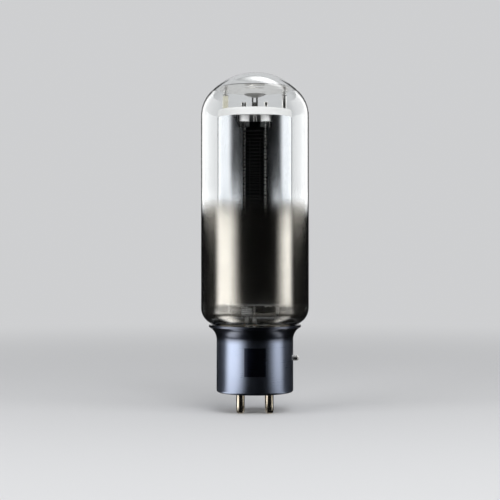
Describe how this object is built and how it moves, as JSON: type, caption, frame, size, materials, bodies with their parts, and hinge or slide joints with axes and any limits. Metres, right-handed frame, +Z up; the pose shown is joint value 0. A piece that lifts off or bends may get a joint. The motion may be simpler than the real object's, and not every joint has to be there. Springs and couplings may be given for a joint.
{
  "type": "power triode tube",
  "caption": "Large glass power triode with a cylindrical anode between ceramic plates, on an aluminium base with contact pins and a bayonet pin.",
  "frame": {"origin": "on the tube's axis, level with the tips of the contact pins", "axes": "+Z up along the tube's axis, -Y to the front where the anode is open, +X to the bayonet pin"},
  "size_m": [0.062, 0.062, 0.1946],
  "materials": {
    "shell": "satin anodised",
    "disc": "moulded",
    "bright_metal": "polished",
    "cement": "matt",
    "bulb_glass": "clear, part mirrored",
    "stem_glass": "clear",
    "spring_wire": "drawn wire",
    "ceramic": "fired, unglazed",
    "sleeve_ceramic": "glazed",
    "anode_sheet": "satin",
    "nickel": "satin nickel",
    "grid_wire": "dark wire",
    "filament_wire": "dull wire",
    "mica": "clear mica",
    "getter_metal": "pressed sheet",
    "pin_plating": "polished plating",
    "lead_metal": "coppered wire"
  },
  "bodies": {
    "root": {"anode": "anode_sheet", "anode_strap": "nickel", "base_disc": "disc", "base_shell": "shell", "basing_cement": "cement", "bayonet_pin": "bright_metal", "bottom_plate": "ceramic", "bushing_tags": "bright_metal", "centre_stud": "bright_metal", "contact_pin_1": "pin_plating", "contact_pin_2": "pin_plating", "contact_pin_3": "pin_plating", "contact_pin_4": "pin_plating", "filament": "filament_wire", "filament_anchor": "spring_wire", "filament_hook_left": "spring_wire", "filament_hook_right": "spring_wire", "filament_lead_left": "nickel", "filament_lead_right": "nickel", "filament_post_left": "nickel", "filament_post_right": "nickel", "filament_strap_left": "nickel", "filament_strap_right": "nickel", "getter_dish": "getter_metal", "getter_fork": "bright_metal", "glass_bulb": "bulb_glass", "glass_stem": "stem_glass", "grid_ring": "nickel", "grid_rod_1": "nickel", "grid_rod_2": "nickel", "grid_rod_3": "nickel", "grid_rod_4": "nickel", "grid_strap": "nickel", "grid_winding": "grid_wire", "head_pins": "bright_metal", "hook_nuts": "nickel", "lead_ferrules": "bright_metal", "lead_wire_1": "lead_metal", "lead_wire_2": "lead_metal", "lead_wire_3": "lead_metal", "lead_wire_4": "lead_metal", "left_post": "nickel", "left_sleeve": "sleeve_ceramic", "left_spring": "spring_wire", "lower_bushings": "ceramic", "post_caps": "nickel", "right_post": "nickel", "right_spring": "spring_wire", "right_tube": "bright_metal", "support_post_left": "nickel", "support_post_right": "nickel", "tension_spring": "spring_wire", "top_mica": "mica", "top_plate": "ceramic", "twin_pins": "bright_metal", "upper_bushings": "ceramic"}
  },
  "joints": []
}
